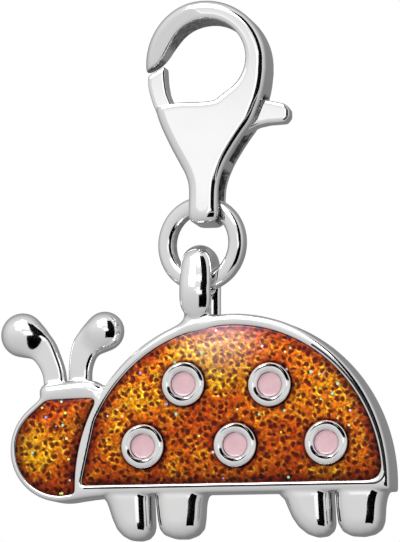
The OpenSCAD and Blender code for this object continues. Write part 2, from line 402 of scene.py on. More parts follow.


# %% [markdown]
# ## Polished silver
# Sterling silver from the polishing wheel has almost no colour of its own: what the eye sees
# is the room. So the metal is fully metallic and smooth, with a very fine grain and a slow
# change of roughness where hands have dulled it. The wheel does not reach the inner faces:
# an attribute marks them, and there the metal is rougher, as cast, and its colour is a
# darker, grainy grey that is painted shade.

# %% Silver
metal = Finish("polished_silver", Metallic=1.0)
silver = metal.material
slow = metal.noise(3.0)
tint = metal.ramp(slow, (0.3, 0.83), (0.7, (0.87, 0.87, 0.865)))
# Inner faces are rougher, as cast, and painted a darker grainy grey as shade.
cast_and_shade = metal.attribute("unpolished_and_shaded")
shade_grain = metal.ramp(metal.noise(0.25, 3.0), (0.35, 0.1), (0.65, 0.5))
dull = metal.fit(slow, target=(0.05, 0.11))
metal.feed(Base_Color=metal.mix("MIX", cast_and_shade, tint, shade_grain),
           Roughness=metal.maths("MULTIPLY_ADD", cast_and_shade, 0.25, dull))
metal.bump(metal.noise(0.12, 3.0), 0.03, 0.01)
metal.count()


# %% Marks on a mesh
def mark(mesh, name, values):
    """Keeps one number for each vertex."""
    mesh.attributes.new(name, "FLOAT", "POINT").data.foreach_set("value", values)


def fade(depth, width):
    """From 0 at a border to 1 at a width inside it."""
    return np.clip(depth / width, 0, 1)


# Marks where the metal is rougher and painted darker as shade.
def mark_rough_and_shaded(piece, amount, turn=0.0):
    """Marks vertices with amount(x, y, z), 0 to 1, in millimetres before the piece's turn."""
    unturn = np.array(Matrix.Rotation(-turn, 3, "Z")).T
    places = np.array([v.co for v in piece.data.vertices]) @ unturn / MM
    marks = np.clip(amount(*places.T), 0, 1)
    mark(piece.data, "unpolished_and_shaded", marks)
    print(piece.name, round(float(marks.mean()), 3), "unpolished_and_shaded")


# %% [markdown]
# ## The clasp
# A lobster clasp is one casting: a hook over a widening body, with a slot for the lever and
# a gap for the ring at its foot. Its faces are flat, its edges are rounded by the polishing
# wheel, and the hook thins towards its slanted end. All of that is drawn flat, given depth,
# and then carved.

# %% Clasp's outline
CLASP_TURN = math.radians(5)
CLASP_HALF, CLASP_EDGE = 1.5, 0.45
HOOK, HOOK_R = (0.02, -2.32), 3.32
ROWS = [(-2.6, -2.4, 3.32), (-3.4, -2.5, 3.26), (-4.2, -2.6, 3.08), (-4.8, -2.58, 2.86),
        (-5.5, -2.37, 2.55), (-6.2, -2.06, 2.06), (-6.9, -1.72, 1.6), (-7.6, -1.34, 1.2),
        (-8.3, -1.0, 0.93), (-9.0, -0.84, 0.79), (-10.3, -0.86, 0.76), (-11.6, -0.8, 0.7)]
FOOT = -10.82
TIP_WAY, THINNING = (-0.616, -0.788), 0.24


def clasp_shape(x, y, z):
    left = through([(a, h) for h, a, _ in ROWS])
    right_side = through([(b, h) for h, _, b in ROWS])
    body = outline(np.vstack([left, right_side[::-1]]), x, z)
    body = common(body, FOOT - z, 0.5)
    flat = melt(disc(x, z, HOOK, HOOK_R), body, 0.1)
    to_tip = TIP_WAY[0] * (x + 0.6) + TIP_WAY[1] * (z - 0.6)
    thinner = THINNING * np.maximum(to_tip, 0) * np.clip(0.3 - x, 0, 1) * (z > -3.5)
    return plate(flat, y, CLASP_HALF - thinner, CLASP_EDGE)


wax = Wax((-3.6, -1.75, -11.1), (3.7, 1.75, 1.3))
wax.work(melt, clasp_shape, 0.01)
wax.weigh("clasp before carving")

# %% Clasp's openings
OPENING, OPENING_R = (0.13, -2.08), 2.08
MOUTH = [(-3.8, -3.02), (-1.7, -1.79), OPENING, (0.444, -4.137), (-2.66, -4.61), (-3.8, -4.8)]
LEVER_ROOM = [(-3.9, -3.9), (-0.75, -3.9), (-0.75, -5.1), (0.92, -5.1), (2.1, -4.4),
              (2.9, -4.05), (4.6, -4.05), (4.6, -7.42), (0.45, -7.42), (0.1, -7.72),
              (-1.0, -7.72), (-1.3, -7.4), (-3.9, -7.4)]
LEVER_ROOM_HALF = 0.68
RING = (-0.3, -11.78)
EYE = [(-4, -8.02), (4, -8.02), (4, -10.78), (-4, -10.78)]
EYE_R, EYE_HALF = 1.42, 0.96


def clasp_opening(x, y, z):
    mouth = common(outline(np.array(MOUTH), x, z), disc(x, z, HOOK, HOOK_R + 2), 0.05)
    return melt(disc(x, z, OPENING, OPENING_R), mouth, 0.9) + 0 * y


def eye_room(x, y, z):
    room = carve(outline(np.array(EYE), x, z) - 0.03, disc(x, z, RING, EYE_R), 0.1)
    return plate(room, y, EYE_HALF, 0.1)


lever_room = slab(LEVER_ROOM, LEVER_ROOM_HALF, 0.02)
wax.work(carve, clasp_opening, 0.2)
wax.work(carve, lever_room, 0.06)
wax.work(carve, eye_room, 0.24)
clasp = skin(wax, "clasp_casting", silver, CLASP_TURN)


# %% Clasp's unpolished faces, painted darker as shade
def clasp_inside(x, y, z):
    """1 in the hook's bore, on its slanted tip and in the two rooms."""
    deep = fade(1.3 - np.abs(y), 0.15)
    bore = fade(OPENING_R + 0.12 - np.hypot(x - OPENING[0], z - OPENING[1]), 0.08)
    from_tip = np.abs(0.52 * (x + 3.8) - 0.855 * (z + 3.02))
    tip = fade(0.12 - from_tip, 0.06) * (x < -1.2) * (z < -0.9)
    rooms = fade(np.maximum(-lever_room(x, y, z), -eye_room(x, y, z)) + 0.12, 0.08)
    return np.maximum(np.maximum(bore, tip) * deep, rooms * (np.abs(y) < 1.1))


mark_rough_and_shaded(clasp, clasp_inside, CLASP_TURN)
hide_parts("clasp_body")
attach(clasp, "clasp")

# %% [markdown]
# ## The lever
# The lever closes the hook. It is stamped from sheet and tumbled, so its faces are flat and
# its edges only slightly soft. Its tab stands out on the right for a fingernail. The pin that
# it turns on is a plain solid of the CAD model, which only gets the silver.

# %% Lever
LEVER = [(-3.14, -2.86), (-3.14, -3.35), (-3.05, -3.8), (-2.87, -4.38), (-2.6, -5.02),
         (-2.22, -5.7), (-1.75, -6.25), (-1.3, -6.75), (-0.45, -7.5), (0.25, -7.25),
         (1.25, -6.85), (1.5, -6.4), (2.28, -5.86), (2.75, -5.64), (3.3, -5.53),
         (4.2, -5.48), (4.44, -5.2), (4.44, -4.8), (4.2, -4.5), (2.97, -4.22),
         (2.2, -4.55), (1.3, -5.15), (0.3, -5.45), (-0.9, -5.45), (-1.5, -4.9),
         (-1.85, -4.3), (-2.05, -3.8), (-2.15, -3.2), (-2.2, -2.34)]
PIVOT, KNUCKLE_R, PIN_R = (-0.45, -6.75), 0.85, 0.36
LEVER_HALF, LEVER_EDGE = 0.6, 0.14


def lever_shape(x, y, z):
    flat = melt(outline(np.array(LEVER), x, z), disc(x, z, PIVOT, KNUCKLE_R), 0.2)
    flat = carve(flat, disc(x, z, PIVOT, PIN_R), 0.05)
    return plate(flat, y, LEVER_HALF, LEVER_EDGE)


wax = Wax((-3.5, -0.85, -7.9), (4.8, 0.85, -2.0))
wax.work(melt, lever_shape, 0.01)
lever = skin(wax, "spring_lever", silver, CLASP_TURN)
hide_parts("clasp_lever")
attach(lever, "lever")
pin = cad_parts["lever_pin"]
for slot in pin.material_slots:
    slot.link, slot.material = "OBJECT", silver
print(pin.name, "has", len(pin.material_slots), "silver slots")

# %% [markdown]
# ## Trees of Geometry Nodes
# What follows a path or repeats is made with Geometry Nodes. Each tree has named inputs for
# its sizes. The helper adds a tree to a start mesh, sets the inputs by their identifiers,
# and turns the evaluated result into a plain mesh, because the export keeps no instances.

# %% Helpers for geometry
class Tree(Nodes):
    """A tree of geometry nodes with a named input for each of its sizes."""

    def __init__(self, name, **sizes):
        super().__init__(bpy.data.node_groups.new(name, "GeometryNodeTree"))
        face, self.values = self.tree.interface, {}
        face.new_socket("Geometry", in_out="INPUT", socket_type="NodeSocketGeometry")
        for key, value in sizes.items():
            socket = face.new_socket(key, in_out="INPUT", socket_type="NodeSocketFloat")
            self.values[socket.identifier] = float(value)
        face.new_socket("Geometry", in_out="OUTPUT", socket_type="NodeSocketGeometry")
        self.size = self.node("NodeGroupInput").outputs
        self.start = self.size["Geometry"]

    def step(self, kind, inputs=(), **settings):
        """The first output of a new node. Its kind is written without GeometryNode."""
        return self.node("GeometryNode" + kind, inputs, **settings).outputs[0]

    def below(self, value, limit):
        return self.node("FunctionNodeCompare", {0: value, 1: limit},
                         operation="LESS_THAN").outputs[0]

    def circle(self, count, radius):
        return self.step("CurvePrimitiveCircle", {"Resolution": count, "Radius": radius})

    def rounded(self, width, height, corner, count):
        """A rectangle with round corners."""
        sharp = self.step("CurvePrimitiveQuadrilateral", {"Width": width, "Height": height})
        return self.step("FilletCurve", {"Curve": sharp, "Radius": corner, "Count": count},
                         mode="POLY")

    def sweep(self, path, profile, caps=False):
        return self.step("CurveToMesh",
                         {"Curve": path, "Profile Curve": profile, "Fill Caps": caps})

    def upright(self, mesh, turn=0.0, place=(0, 0, 0)):
        """A flat ring stood up to face the front, turned and moved."""
        return self.step("Transform", {
            "Geometry": mesh, "Rotation": (math.radians(90), 0, turn), "Translation": place})

    def smooth(self, mesh):
        return self.step("SetShadeSmooth", {"Geometry": mesh})

    def made(self, last, name, start, material):
        """Ends the tree, runs it on the start mesh and returns a plain mesh object."""
        whole = self.step("RealizeInstances", {"Geometry": last})
        finish = self.step("SetMaterial", {"Geometry": whole, "Material": material})
        self.tree.links.new(finish, self.tree.nodes.new("NodeGroupOutput").inputs[0])
        carrier = on_set(name, start)
        modifier = carrier.modifiers.new(name, "NODES")
        modifier.node_group = self.tree
        for identifier, value in self.values.items():
            modifier[identifier] = value
        ready = carrier.evaluated_get(bpy.context.evaluated_depsgraph_get())
        mesh = bpy.data.meshes.new_from_object(ready)
        bpy.data.objects.remove(carrier)
        print(name, len(mesh.polygons), "faces")
        return on_set(name, mesh)


def points_mesh(name, places, edges=()):
    mesh = bpy.data.meshes.new(name)
    mesh.from_pydata([Vector(p) * MM for p in places], list(edges), [])
    return mesh


# %% [markdown]
# ## The jump ring
# The ring is wire of a rounded square section, bent round and soldered shut: a circle is the
# path and a filleted square the profile. The polishing wheel barely reaches its inside, so its
# inside is rougher and painted somewhat darker, as painted shade.

# %% Jump ring
RING_TURN = math.radians(-11)
RING_BORE = 1.68

tree = Tree("jump_ring", radius=2.05 * MM, width=0.9 * MM, thickness=0.94 * MM, corner=0.34 * MM)
wire = tree.rounded(tree.size["width"], tree.size["thickness"], tree.size["corner"], 7)
hoop = tree.sweep(tree.circle(192, tree.size["radius"]), wire)
hoop = tree.upright(hoop, RING_TURN, (RING[0] * MM, 0, RING[1] * MM))
ring = tree.made(tree.smooth(hoop), "wire_ring", points_mesh("ring_start", [(0, 0, 0)]), silver)


# The ring's inside gets half of the clasp's roughness and painted shade.
def ring_inside(x, y, z):
    return 0.5 * fade(RING_BORE - np.hypot(np.hypot(x - RING[0], y), z - RING[1]), 0.06)


mark_rough_and_shaded(ring, ring_inside)
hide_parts("jump_ring")
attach(ring, "ring")

# %% [markdown]
# ## The ladybird's casting
# The shell is half an oval with a head beside it, both with a raised lip round a recess. Four
# short legs, two antennae with ball ends, a rolled collar and the bail belong to the same
# casting, so all of them are worked into one block of wax, in a carver's order. The shell
# and head come first, as one plate with rounded edges.

# %% Shell and head
BLOCK = (-11.8, -1.8, -27.8), (10.4, 1.8, -11.6), 0.084
BODY_HALF, BODY_EDGE = 1.2, 0.3
SHELL, SHELL_A, SHELL_B = (1.5, -24.55), 8.5, 8.95
BASE = -24.98
HEAD, HEAD_R = (-7.76, -22.52), 2.78
HEAD_CORNERS = [(-8.52, -19.66), (-8.52, -19.5), (-6.4, -19.25), (-5.7, -19.45),
                (-5.7, BASE), (-5.5, BASE)]


def round_points(middle, r, count=96):
    angles = np.arange(count) * 2 * math.pi / count
    return [(middle[0] + r * math.cos(a), middle[1] + r * math.sin(a)) for a in angles]


def shell_flat(x, z):
    return np.maximum(oval(x, z, SHELL, SHELL_A, SHELL_B), BASE - z)


def head_flat(x, z):
    spots = round_points(HEAD, HEAD_R) + HEAD_CORNERS
    hull = [spots[i] for i in convex_hull_2d(spots)]
    return outline(np.array(hull), x, z)


def body_shape(x, y, z):
    return plate(melt(shell_flat(x, z), head_flat(x, z), 0.3), y, BODY_HALF, BODY_EDGE)


wax = Wax(*BLOCK)
wax.work(melt, body_shape, 0.01)
wax.weigh("shell and head")

# %% [markdown]
# ## Legs
# The four legs are stubs with round ends. They get a block of their own, where neighbours
# meet with hardly a fillet and keep their crease, and it is then melted onto the body.

# %% Legs
LEGS = [[(-5.95, -24.8), (-5.42, -25.3), (-5.26, -25.71), (-5.1, -26.21), (-4.84, -26.78),
         (-4.52, -27.13), (-4.11, -27.36), (-3.64, -27.4), (-3.24, -27.3), (-2.98, -27.01),
         (-2.89, -26.66), (-2.96, -25.15), (-2.96, -24.4), (-5.4, -24.4)],
        [(-2.75, -25.05), (-2.7, -25.65), (-2.62, -26.35), (-2.51, -26.81), (-2.26, -27.12),
         (-1.71, -27.32), (-1.09, -27.33), (-0.57, -27.14), (-0.26, -26.8), (-0.18, -26.29),
         (-0.13, -25.49), (-0.05, -25.14), (0.15, -24.9), (0.1, -24.4), (-2.75, -24.4)],
        [(3.7, -24.85), (4.23, -25.37), (4.39, -25.77), (4.64, -26.32), (5.0, -26.82),
         (5.46, -27.18), (5.92, -27.34), (6.42, -27.28), (6.75, -27.0), (6.84, -26.66),
         (6.76, -25.21), (6.76, -24.4), (4.0, -24.4)],
        [(6.96, -25.12), (7.0, -25.91), (7.08, -26.61), (7.33, -27.06), (7.76, -27.3),
         (8.38, -27.34), (8.94, -27.22), (9.29, -26.96), (9.45, -26.55), (9.5, -25.75),
         (9.58, -25.31), (9.75, -24.9), (9.6, -24.4), (6.96, -24.4)]]
LEG_HALF, LEG_EDGE = 1.12, 0.85

legs = Wax(*BLOCK)
for leg in LEGS:
    left = leg[0][0]
    legs.work(melt, slab(leg, LEG_HALF, LEG_EDGE), 0.01, (left - 1, -2, -29), (left + 5, 2, -23))
wax.field = melt(wax.field, legs.field, 0.06)
wax.weigh("with legs")

# %% [markdown]
# ## Recesses and collar
# The recesses follow the outlines at the width of the lip, and their floor stays flat. The
# shell's one is round at its lower right corner and sharp at its lower left. A thin roll of
# silver, the collar, then closes the head's recess at its top.

# %% Recesses
FLOOR = -0.5
LIP_SIDE, LIP_TOP, LIP_BASE, LIP_HEAD = 0.42, 0.63, 0.54, 0.33
SHELL_LEFT = ((-6.66, -24.7), (-5.44, -19.2))
HEAD_TOP = -19.92


def right_of_line(x, z):
    (ax, az), (bx, bz) = SHELL_LEFT
    length = math.hypot(bx - ax, bz - az)
    return ((x - ax) * (az - bz) + (z - az) * (bx - ax)) / length


def shell_pocket(x, z, margin=0.0):
    flat = oval(x, z, SHELL, SHELL_A - LIP_SIDE, SHELL_B - LIP_TOP)
    flat = common(flat, BASE + LIP_BASE - z, np.where(x > SHELL[0], 0.9, 0.05))
    return common(flat, right_of_line(x, z), 0.05) - margin


def head_pocket(x, z, margin=0.0):
    flat = common(head_flat(x, z) + LIP_HEAD, z - HEAD_TOP, 0.2)
    return carve(flat, shell_flat(x, z), 0.15) - margin


def pockets(x, y, z):
    flat = np.minimum(shell_pocket(x, z), head_pocket(x, z))
    return np.maximum(flat, y - FLOOR)


wax.work(carve, pockets, 0.14)
wax.weigh("with recesses")

# %% Collar
COLLAR = [(-8.48, -0.76, -19.52, 0.5), (-7.6, -0.8, -19.44, 0.5), (-6.6, -0.8, -19.34, 0.47),
          (-5.95, -0.76, -19.38, 0.4), (-5.55, -0.7, -19.62, 0.34)]
wax.work(melt, bar(through(COLLAR, 6)), 0.2, (-10, -2, -21), (-4, 2, -18))
wax.weigh("with collar")

# %% [markdown]
# ## Antennae
# Each antenna is a flat-sided stem that bends outwards, thickens and ends in a pressed ball.
# The stem stops short of the ball's middle, which keeps the ball round.

# %% Antennae
LEFT_ANTENNA = [(-8.3, 0, -19.3, 0.6), (-8.42, 0, -18.4, 0.6), (-8.7, 0, -17.7, 0.64),
                (-9.06, 0, -17.12, 0.74), (-9.4, 0, -16.8, 0.8)]
RIGHT_ANTENNA = [(-6.96, 0, -19.2, 0.6), (-6.96, 0, -18.3, 0.6), (-6.84, 0, -17.6, 0.66),
                 (-6.62, 0, -17.05, 0.74), (-6.36, 0, -16.75, 0.78)]
STEM_HALF, STEM_EDGE = 0.46, 0.28
BALLS = [(-10.17, -16.36, 1.17, 0.86), (-5.64, -16.27, 1.05, 0.9)]
LEVEL = np.zeros((1, 1, 1))


def stem(stations):
    """The shape of a flat-sided stem along stations."""
    return lambda x, y, z: plate(tube(x, LEVEL, z, stations), y, STEM_HALF, STEM_EDGE)


antennae = Wax(*BLOCK)
for path in (LEFT_ANTENNA, RIGHT_ANTENNA):
    antennae.work(melt, stem(through(path, 10)), 0.02, (-12, -2, -20.6), (-4, 2, -14.5))
for ball in BALLS:
    antennae.work(melt, lambda x, y, z: ellipsoid(x, y, z, *ball), 0.45,
                  (-12, -2, -18.5), (-4, 2, -14.5))
wax.field = melt(wax.field, antennae.field, 0.25)
wax.weigh("with antennae")

# %% [markdown]
# ## Bail
# The bail is a strap that rises from the shell's front, bends over the ring and comes down
# behind it. Stations give its path, its thickness and its width: it is thickest at the top,
# where the ring would wear it.

# %% Bail
BAIL_X = -0.4
BAIL = [(-1.06, -15.52, 0.28, 0.56), (-1.11, -15.25, 0.35, 0.76), (-1.165, -14.85, 0.42, 0.84),
        (-1.175, -14.35, 0.445, 0.85), (-1.11, -13.72, 0.41, 0.85), (-0.72, -12.72, 0.575, 0.82),
        (0, -12.53, 0.69, 0.78), (0.72, -12.72, 0.575, 0.82), (1.115, -13.72, 0.385, 0.82),
        (1.115, -14.7, 0.385, 0.82), (1.115, -15.6, 0.385, 0.82)]
NECK = [(BAIL_X, -0.74, -15.1, 0.34, 0.62), (BAIL_X, -0.78, -16.2, 0.36, 0.8)]

strap = np.insert(through(BAIL), 0, BAIL_X, axis=1)
wax.work(melt, bar(np.array(NECK)), 0.3, (-3, -2, -17.2), (2, 2, -13))
wax.work(melt, bar(strap), 0.12, (-3, -2, -17.2), (2, 2, -11))
ladybird = skin(wax, "ladybird_casting", silver)
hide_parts("ladybird_frame")
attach(ladybird, "ladybird")

# %% [markdown]
# ## The spot rims
# Five rims of bent wire stand on the floor of the recess and hold the pink enamel. One rim is
# swept round a circle, and five copies go to the points of a start mesh. The front of its
# profile is raised to a crown, so that the crest mirrors thin dark arcs as a real wire does.

# %% Spot rims
SPOTS = [(-1.0, -19.28), (3.66, -19.4), (-3.2, -22.5), (1.8, -22.51), (6.68, -22.48)]
CREST = -1.5
RIM_MIDDLE, RIM_WIDE = 0.91, 0.5
RIM_HIGH, RIM_DOME = FLOOR + 0.05 - CREST, 0.11

tree = Tree("spot_rims", radius=RIM_MIDDLE * MM, wide=RIM_WIDE * MM,
            high=(RIM_HIGH - RIM_DOME) * MM, corner=0.05 * MM, dome=-RIM_DOME * MM)
size = tree.size
wall = tree.rounded(size["wide"], size["high"], size["corner"], 4)
wall = tree.step("ResampleCurve", {"Curve": wall, "Count": 72})
place = tree.node("ShaderNodeSeparateXYZ", {0: tree.step("InputPosition")}).outputs
share = tree.maths("DIVIDE", place["X"], size["wide"])
crown = tree.maths("MULTIPLY_ADD", tree.maths("MULTIPLY", share, share), -4.0, 1.0)
lift = tree.maths("MULTIPLY", crown, size["dome"])
domed = tree.step("SetPosition", {
    "Geometry": wall, "Selection": tree.below(place["Y"], 0.0),
    "Offset": tree.node("ShaderNodeCombineXYZ", {"Y": lift}).outputs[0]})
rim = tree.upright(tree.sweep(tree.circle(72, size["radius"]), domed))
copies = tree.step("InstanceOnPoints", {"Points": tree.start, "Instance": rim})
start = points_mesh("spots", [(x, CREST + (RIM_HIGH + RIM_DOME) / 2, z) for x, z in SPOTS])
rims = tree.made(tree.smooth(copies), "spot_rims", start, silver)
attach(rims, "ladybird")

# %% [markdown]
# ## The dark line in the lip
# A black line runs round the lower right of the shell's lip, beside the enamel, where the
# rounded lip mirrors dark: a painted reflection. A groove of a tenth of a millimetre would need a
# far finer grid, so a thin black thread is swept along the outline and tapers away at its ends.

# %% Painted dark line
# A black thread where the lip mirrors a dark line: a painted reflection.
painted_dark_line = Finish("dark_oxide", Roughness=0.45, Specular_IOR_Level=0.3)
painted_dark_line.feed(Base_Color=painted_dark_line.ramp(painted_dark_line.noise(0.2, 3.0), (0.4, 0.004),
                                     (0.7, (0.03, 0.03, 0.032))))
painted_dark_line.count()

# %% Lip line
LINE_OUT, LINE_R, LINE_Y = 0.19, 0.058, -1.168
LINE_CORNER, LINE_END = 0.62, -6.45


def arc(middle, a, b, first, last, count):
    """Points of an elliptic arc between two angles in degrees."""
    return [(middle[0] + a * math.cos(t), middle[1] + b * math.sin(t))
            for t in np.radians(np.linspace(first, last, count))]


line_a, line_b = SHELL_A - LIP_SIDE + LINE_OUT, SHELL_B - LIP_TOP + LINE_OUT
line_low = BASE + LIP_BASE - LINE_OUT
corner = (SHELL[0] + line_a - LINE_CORNER, line_low + LINE_CORNER)
line = [p for p in arc(SHELL, line_a, line_b, 58, 4, 60) if p[1] > corner[1]]
line += arc(corner, LINE_CORNER, LINE_CORNER, 0, -90, 12)
line += [(x, line_low) for x in np.linspace(corner[0] - 0.2, LINE_END, 60)]
start = points_mesh("lip_line_start", [(x, LINE_Y, z) for x, z in line],
                    [(i, i + 1) for i in range(len(line) - 1)])
far = np.linspace(0, 1, len(line))
mark(start, "thick", np.clip(np.minimum(far / 0.22, (1 - far) / 0.04), 0.15, 1))

tree = Tree("lip_line", radius=LINE_R * MM)
thick = tree.step("InputNamedAttribute", {"Name": "thick"}, data_type="FLOAT")
thread = tree.step("SetCurveRadius", {
    "Curve": tree.step("MeshToCurve", {"Mesh": tree.start}), "Radius": thick})
thread = tree.sweep(thread, tree.circle(10, tree.size["radius"]), caps=True)
lip_line = tree.made(tree.smooth(thread), "lip_line", start, painted_dark_line.material)
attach(lip_line, "ladybird")

# %% [markdown]
# ## Amber enamel
# Clear enamel lets the dimpled ground shine through: the ridges between the dimples throw
# back gold, the dimples stay dark, and the smooth surface above mirrors the room. True glass
# would need many light bounces, so the ground is the shader's base layer, metallic and
# bumped, and the smooth enamel is its coat. The gold light on the ridges and the shade in
# the dimples are painted into the base colour. The dimples are Voronoi cells, bent a little by
# noise so that no two are alike.

# %% Dimples
ENAMEL = -1.1
DIMPLE = 0.42

amber = Finish("amber_enamel", Metallic=0.9, Roughness=0.35, Coat_Roughness=0.03, Coat_IOR=1.55)
front = amber.node("ShaderNodeMapping", {"Vector": amber.where,
                                         "Rotation": (math.radians(-90), 0, 0)}).outputs[0]
wobble = amber.noise(0.5, 2.0, front).node.outputs["Color"]
bent = amber.mix("LINEAR_LIGHT", 0.0002, front, wobble)


def dimples(shift=(0, 0, 0)):
    """Distance to the dimples' middles, with the pattern shifted by millimetres."""
    moved = amber.node("ShaderNodeVectorMath", {0: bent, 1: [v * MM for v in shift]})
    return amber.node("ShaderNodeTexVoronoi", {
        "Vector": moved.outputs[0], "Scale": 1 / (DIMPLE * MM), "Randomness": 0.9},
        voronoi_dimensions="2D").outputs["Distance"]


def near(x, z, reach):
    """1 at a place of the front, falling to 0 at its reach."""
    far = amber.node("ShaderNodeVectorMath", {
        0: amber.where, 1: (x * MM, ENAMEL * MM, z * MM)}, operation="DISTANCE")
    return amber.fit(far.outputs["Value"], (0, reach * MM), (1, 0),
                     interpolation_type="SMOOTHERSTEP")


middle, highlight_dimples = dimples(), dimples((0.05, -0.045, 0))
print("dimples of", DIMPLE, "mm")

# %% [markdown]
# ## The ground's colours
# Four places of painted light and slow clouds set the base colour between red brown and gold.
# Painted highlights lie beside the dimples, on one side of each, and break where a fine noise
# is low. The dimples are darkened with painted shade, the rim of each recess and each spot gets
# painted shade, and a milky patch at the top is a painted reflection of the sky in the coat.

# %% Ground
# Places where the base colour is painted lighter and more golden, as pools of light.
PAINTED_LIGHT_PLACES = [(-4.6, -20.4, 3.2), (6.0, -19.8, 3.0), (0.8, -17.6, 3.6), (-9.2, -22.2, 2.6)]

flicker = amber.noise(0.3)
painted_light = near(*PAINTED_LIGHT_PLACES[0])
for spot in PAINTED_LIGHT_PLACES[1:]:
    painted_light = amber.maths("ADD", painted_light, near(*spot))
tone_and_painted_light = amber.maths("MULTIPLY_ADD", painted_light, 0.22, amber.noise(2.2, 3.0))
body = amber.ramp(tone_and_painted_light, (0.38, (0.4, 0.048, 0.001)), (0.54, (0.56, 0.12, 0.002)),
                  (0.76, (0.64, 0.29, 0.004)))
# The dimples' mask, for their painted shade.
uneven = amber.maths("SUBTRACT", amber.maths("MULTIPLY_ADD", flicker, 0.35, middle), 0.175)
hole = amber.ramp(uneven, (0.16, 0), (0.28, 0.3), (0.36, 1))
# Painted highlights: a band round each dimple, shifted to one side of it.
painted_highlight = amber.ramp(highlight_dimples, (0.24, 0), (0.31, 1), (0.42, 1), (0.5, 0))
# Where the painted highlights show: mostly at the places of painted light.
painted_light_share = amber.ramp(tone_and_painted_light, (0.42, 0.15), (0.62, 1))
broken = amber.ramp(flicker, (0.46, 0.02), (0.54, 1))
mottle = amber.ramp(amber.noise(0.2, 3.0), (0.36, (0.5, 0.42, 0.5)), (0.5, 1.0),
                    (0.64, (1.6, 1.7, 1.5)))
# Painted shade along the edges of the recesses and round the spots.
painted_edge_shade = amber.ramp(amber.attribute("edge"), (0.04, (0.22, 0.1, 0.3)), (0.24, (0.42, 0.24, 0.4)),
                   (0.5, (0.82, 0.72, 0.76)), (0.85, 1))


def times(a, b):
    return amber.mix("MULTIPLY", 1.0, a, b)


# The painted highlights are mixed into the base colour in gold.
ground = amber.mix("MIX", times(times(painted_highlight, painted_light_share), broken), body, (0.92, 0.6, 0.04, 1))
# Painted shade in the dimples.
painted_pit_shade = times(body, (0.22, 0.1, 0.3, 1))
ground = amber.mix("MIX", hole, painted_pit_shade, times(ground, mottle))
# Painted reflection of the sky near the top, where the coat is also thicker.
painted_sky_reflection = amber.maths("MULTIPLY", near(1.0, -16.2, 3.6), 0.4)
ground = amber.mix("MIX", painted_sky_reflection, ground, (0.6, 0.38, 0.36, 1))
amber.feed(Base_Color=times(ground, painted_edge_shade),
           Coat_Weight=amber.fit(near(0.6, -16.2, 3.6), target=(0.12, 1.0)))
amber.bump(middle, 0.5, 0.06)
amber.count()

# %% [markdown]
# ## Filling the recesses
# The enamel lies a little below the lip. Surface tension makes it slightly domed, which
# bends the reflections near the edges. The distance to the edge is also kept as an
# attribute of the mesh, for the painted shade that darkens the ground there.

# %% Enamel
DOME, DOME_REACH, ENAMEL_GRIP = 0.16, 2.0, 0.03
SPOT_HOLE, SPOT_SHADE = 1.18, 2.2


def domed_fill(flat, y):
    inward = np.clip(-flat / DOME_REACH, 0, 1)
    surface = ENAMEL - DOME * (1 - (1 - inward) ** 2)
    return np.maximum(np.maximum(flat, surface - y), y - (FLOOR + ENAMEL_GRIP))


def shell_enamel(x, y, z):
    body = domed_fill(shell_pocket(x, z, ENAMEL_GRIP), y)
    for spot in SPOTS:
        body = np.maximum(body, -disc(x, z, spot, SPOT_HOLE))
    return body


def head_enamel(x, y, z):
    return domed_fill(head_pocket(x, z, ENAMEL_GRIP), y)


def fill(name, node, shape, pocket, low, high):
    wax = Wax(low, high)
    wax.work(melt, shape, 0.01)
    made = skin(wax, name, amber.material, polish=0)
    x, _, z = np.array([v.co for v in made.data.vertices]).T / MM
    inward = -pocket(x, z)
    for spot in SPOTS:
        inward = np.minimum(inward, SPOT_SHADE * disc(x, z, spot, RIM_MIDDLE + RIM_WIDE / 2))
    # Reach of the painted shade, from the recess edges and the spots.
    mark(made.data, "edge", np.clip(inward, 0, 1))
    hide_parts(node)
    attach(made, "ladybird")
    return made


shell_fill = fill("shell_fill", "shell_enamel", shell_enamel, shell_pocket,
                  (-7.0, -1.3, -24.7), (10.0, -0.35, -16.0))
head_fill = fill("head_fill", "head_enamel", head_enamel, head_pocket,
                 (-10.8, -1.3, -25.4), (-5.4, -0.35, -19.7))

# %% [markdown]
# ## Pink enamel
# The spots are filled with opaque enamel: a soft pink with a glassy skin. Each drop is turned
# like a lens, flat in the middle and rising where it wets the rim, so a short profile is all
# that its mesh needs.

# %% Pink finish
pink = Finish("pink_enamel", Roughness=0.35, Coat_Weight=0.6, Coat_Roughness=0.08,
              Subsurface_Weight=0.1, Subsurface_Scale=0.2 * MM)
pink.feed(Base_Color=pink.ramp(pink.noise(0.5, 3.0), (0.3, (0.7, 0.43, 0.48)),
                               (0.7, (0.78, 0.51, 0.55))))
pink.count()

# %% Pink spots
PROFILE = [(0, -1.25), (0.3, -1.25), (0.5, -1.26), (0.59, -1.275), (0.63, -1.31),
           (0.63, -0.55), (0, -0.55)]
TURNS = 48


def drop(x, z):
    """Vertices and faces of one drop of enamel, turned round its middle."""
    places = [(x, PROFILE[0][1], z)]
    for r, y in PROFILE[1:-1]:
        places += [(u, y, v) for u, v in round_points((x, z), r, TURNS)]
    places.append((x, PROFILE[-1][1], z))
    last = len(places) - 1
    faces = []
    for i in range(TURNS):
        j = (i + 1) % TURNS
        faces.append((0, 1 + i, 1 + j))
        for a in range(1, last - TURNS, TURNS):
            faces.append((a + i, a + TURNS + i, a + TURNS + j, a + j))
        faces.append((last, last - TURNS + j, last - TURNS + i))
    return places, faces


places, faces = [], []
for spot in SPOTS:
    more, rows = drop(*spot)
    faces += [[i + len(places) for i in row] for row in rows]
    places += more
spots = model("pink_spots", [Vector(p) * MM for p in places], faces, pink.material)
spots.data.shade_smooth()
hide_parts(*[f"spot_enamel_{i + 1}" for i in range(len(SPOTS))])
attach(spots, "ladybird")
print("pink spots", len(faces), "faces")

